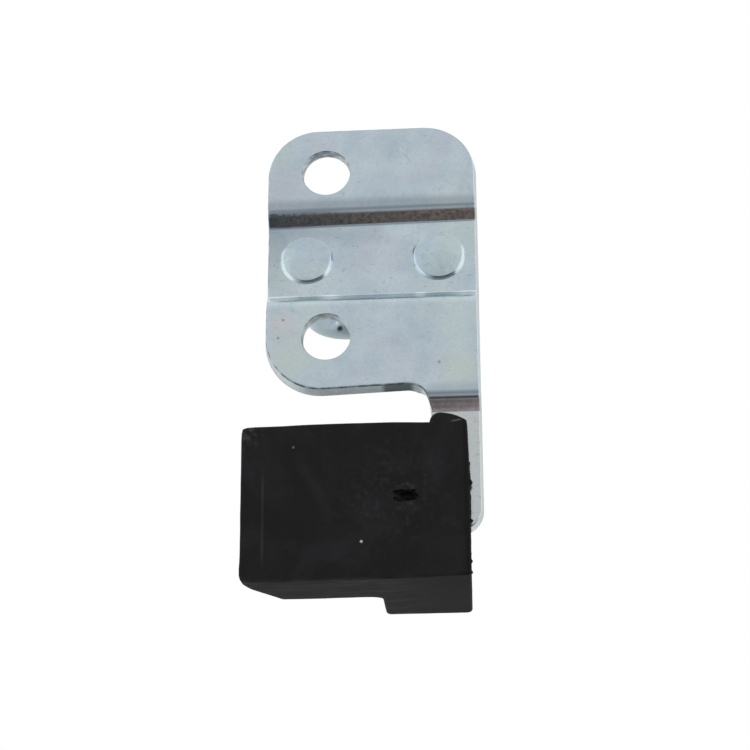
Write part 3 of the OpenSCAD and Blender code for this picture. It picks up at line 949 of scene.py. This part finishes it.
section = add(flash_tree, "GeometryNodeCurvePrimitiveCircle", {"mode": "RADIUS"}, {
    "Resolution": 10, "Radius": 1.0})
strip = add(flash_tree, "GeometryNodeCurveToMesh", {}, {
    "Curve": stepped, "Profile Curve": section,
    "Scale": thickness, "Fill Caps": True})
close_tree(flash_tree, [given["Geometry"], strip], given["Material"])
grow(rubber_block, flash_tree, {
    "Start": (flash_x, flash_y, block_top - 8 * MM),
    "End": (flash_x, flash_y, block_bottom + 0.7 * MM),
    "Least Radius": 0.1 * MM, "Most Radius": 0.42 * MM, "Nub Radius": 0.6 * MM,
    "Seed": flash_seed, "Material": rubber})
rubber_block.data.shade_smooth()
rubber_block.data.set_sharp_from_angle(angle=sharp_angle)
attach(rubber_block, "root")
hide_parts("buffer_block")


# Stage: a pale floor well below the striker, which is shown at the height where a post would hold it, and
# a soft bright room. The room is darker low down in front, as a workshop is below a bench lamp.
floor_size = 14
floor_drop = 0.3
floor_mesh = bpy.data.meshes.new("floor")
floor_work = bmesh.new()
bmesh.ops.create_grid(floor_work, x_segments=1, y_segments=1, size=floor_size / 2)
floor_work.to_mesh(floor_mesh)
floor_work.free()
floor = bpy.data.objects.new("floor", floor_mesh)
floor.location.z = -floor_drop
bpy.context.scene.collection.objects.link(floor)
paint = bpy.data.materials.new("pale_floor_paint")
paint.use_nodes = True
paint.node_tree.nodes["Principled BSDF"].inputs["Base Color"].default_value = linear("#EDEDEB")
paint.node_tree.nodes["Principled BSDF"].inputs["Roughness"].default_value = 0.9
floor_mesh.materials.append(paint)
floor.visible_glossy = False

dark_turn = math.radians(252)
dark_side = (0, math.cos(dark_turn), math.sin(dark_turn))
dark_edge = math.cos(math.radians(40))
dark_core = math.cos(math.radians(31))
room = bpy.data.worlds.new("soft room")
room.use_nodes = True
tree = room.node_tree
toward = add(tree, "ShaderNodeTexCoord", {}, {}).outputs["Generated"]
sides = add(tree, "ShaderNodeSeparateXYZ", {}, {"Vector": toward}).outputs
front_share = add(tree, "ShaderNodeMapRange", {"interpolation_type": "SMOOTHSTEP"}, {
    "Value": sides["Y"], "From Min": -0.35, "From Max": -0.85})
low_share = add(tree, "ShaderNodeMapRange", {"interpolation_type": "SMOOTHSTEP"}, {
    "Value": sides["Z"], "From Min": -0.15, "From Max": -0.4})
side_share = near_line(tree, sides["X"], 0.0, 0.5, 0.8, 1.0, "SMOOTHSTEP")
flat = add(tree, "ShaderNodeVectorMath", {"operation": "MULTIPLY"}, {0: toward, 1: (0, 1, 1)})
round_x = add(tree, "ShaderNodeVectorMath", {"operation": "NORMALIZE"}, {0: flat})
facing = add(tree, "ShaderNodeVectorMath", {"operation": "DOT_PRODUCT"}, {0: round_x, 1: dark_side})
dark_share = add(tree, "ShaderNodeMapRange", {"interpolation_type": "SMOOTHSTEP"}, {
    "Value": facing, "From Min": dark_edge, "From Max": dark_core})
middle = near_line(tree, sides["X"], 0.2, 0.65, 0.5, 1.0, "SMOOTHSTEP")
around = coat(tree, (1, 1, 1, 1), [
    (front_share, (0.86, 0.86, 0.86, 1)), (low_share, (0.62, 0.62, 0.62, 1)),
    (side_share, (1.45, 1.45, 1.45, 1)), (meet(tree, dark_share, middle), (0.1, 0.1, 0.1, 1))])
background = tree.nodes["Background"]
link(tree, around, background.inputs["Color"])
background.inputs["Strength"].default_value = 1.0
scene = bpy.context.scene
scene.world = room
scene.view_settings.view_transform = "Standard"

# Camera: square on to the mounting face from a little below and to the right, as the photograph is. The
# lower bolt hole's centre lies hole_px from the middle of the picture, which is 750 pixels across.
picture_px = 750
lens_px = 2300
yaw = math.radians(-3.964)
pitch = math.radians(20.855)
roll = math.radians(-0.364)
px_per_mm = 5.32974
hole_px = Vector((-49.115, -38.480))
forward = Vector((math.sin(yaw) * math.cos(pitch), math.cos(yaw) * math.cos(pitch), math.sin(pitch)))
level = Vector((math.cos(yaw), -math.sin(yaw), 0))
upright = level.cross(forward)
across = level * math.cos(roll) + upright * math.sin(roll)
up = upright * math.cos(roll) - level * math.sin(roll)
lower_hole = Vector((0, 0, -bolt_hole_z))
stand_off = lens_px / px_per_mm * MM
mm_off = hole_px / px_per_mm * MM
camera_data = bpy.data.cameras.new("camera")
camera = bpy.data.objects.new("camera", camera_data)
camera_data.sensor_width = 36
camera_data.lens = lens_px / picture_px * camera_data.sensor_width
camera_data.clip_start = 0.01
camera_data.clip_end = 50
place_at = lower_hole - forward * stand_off - across * mm_off.x + up * mm_off.y
turned_to = Matrix((across, up, -forward)).transposed().to_4x4()
camera.matrix_world = Matrix.Translation(place_at) @ turned_to
scene.collection.objects.link(camera)
scene.camera = camera
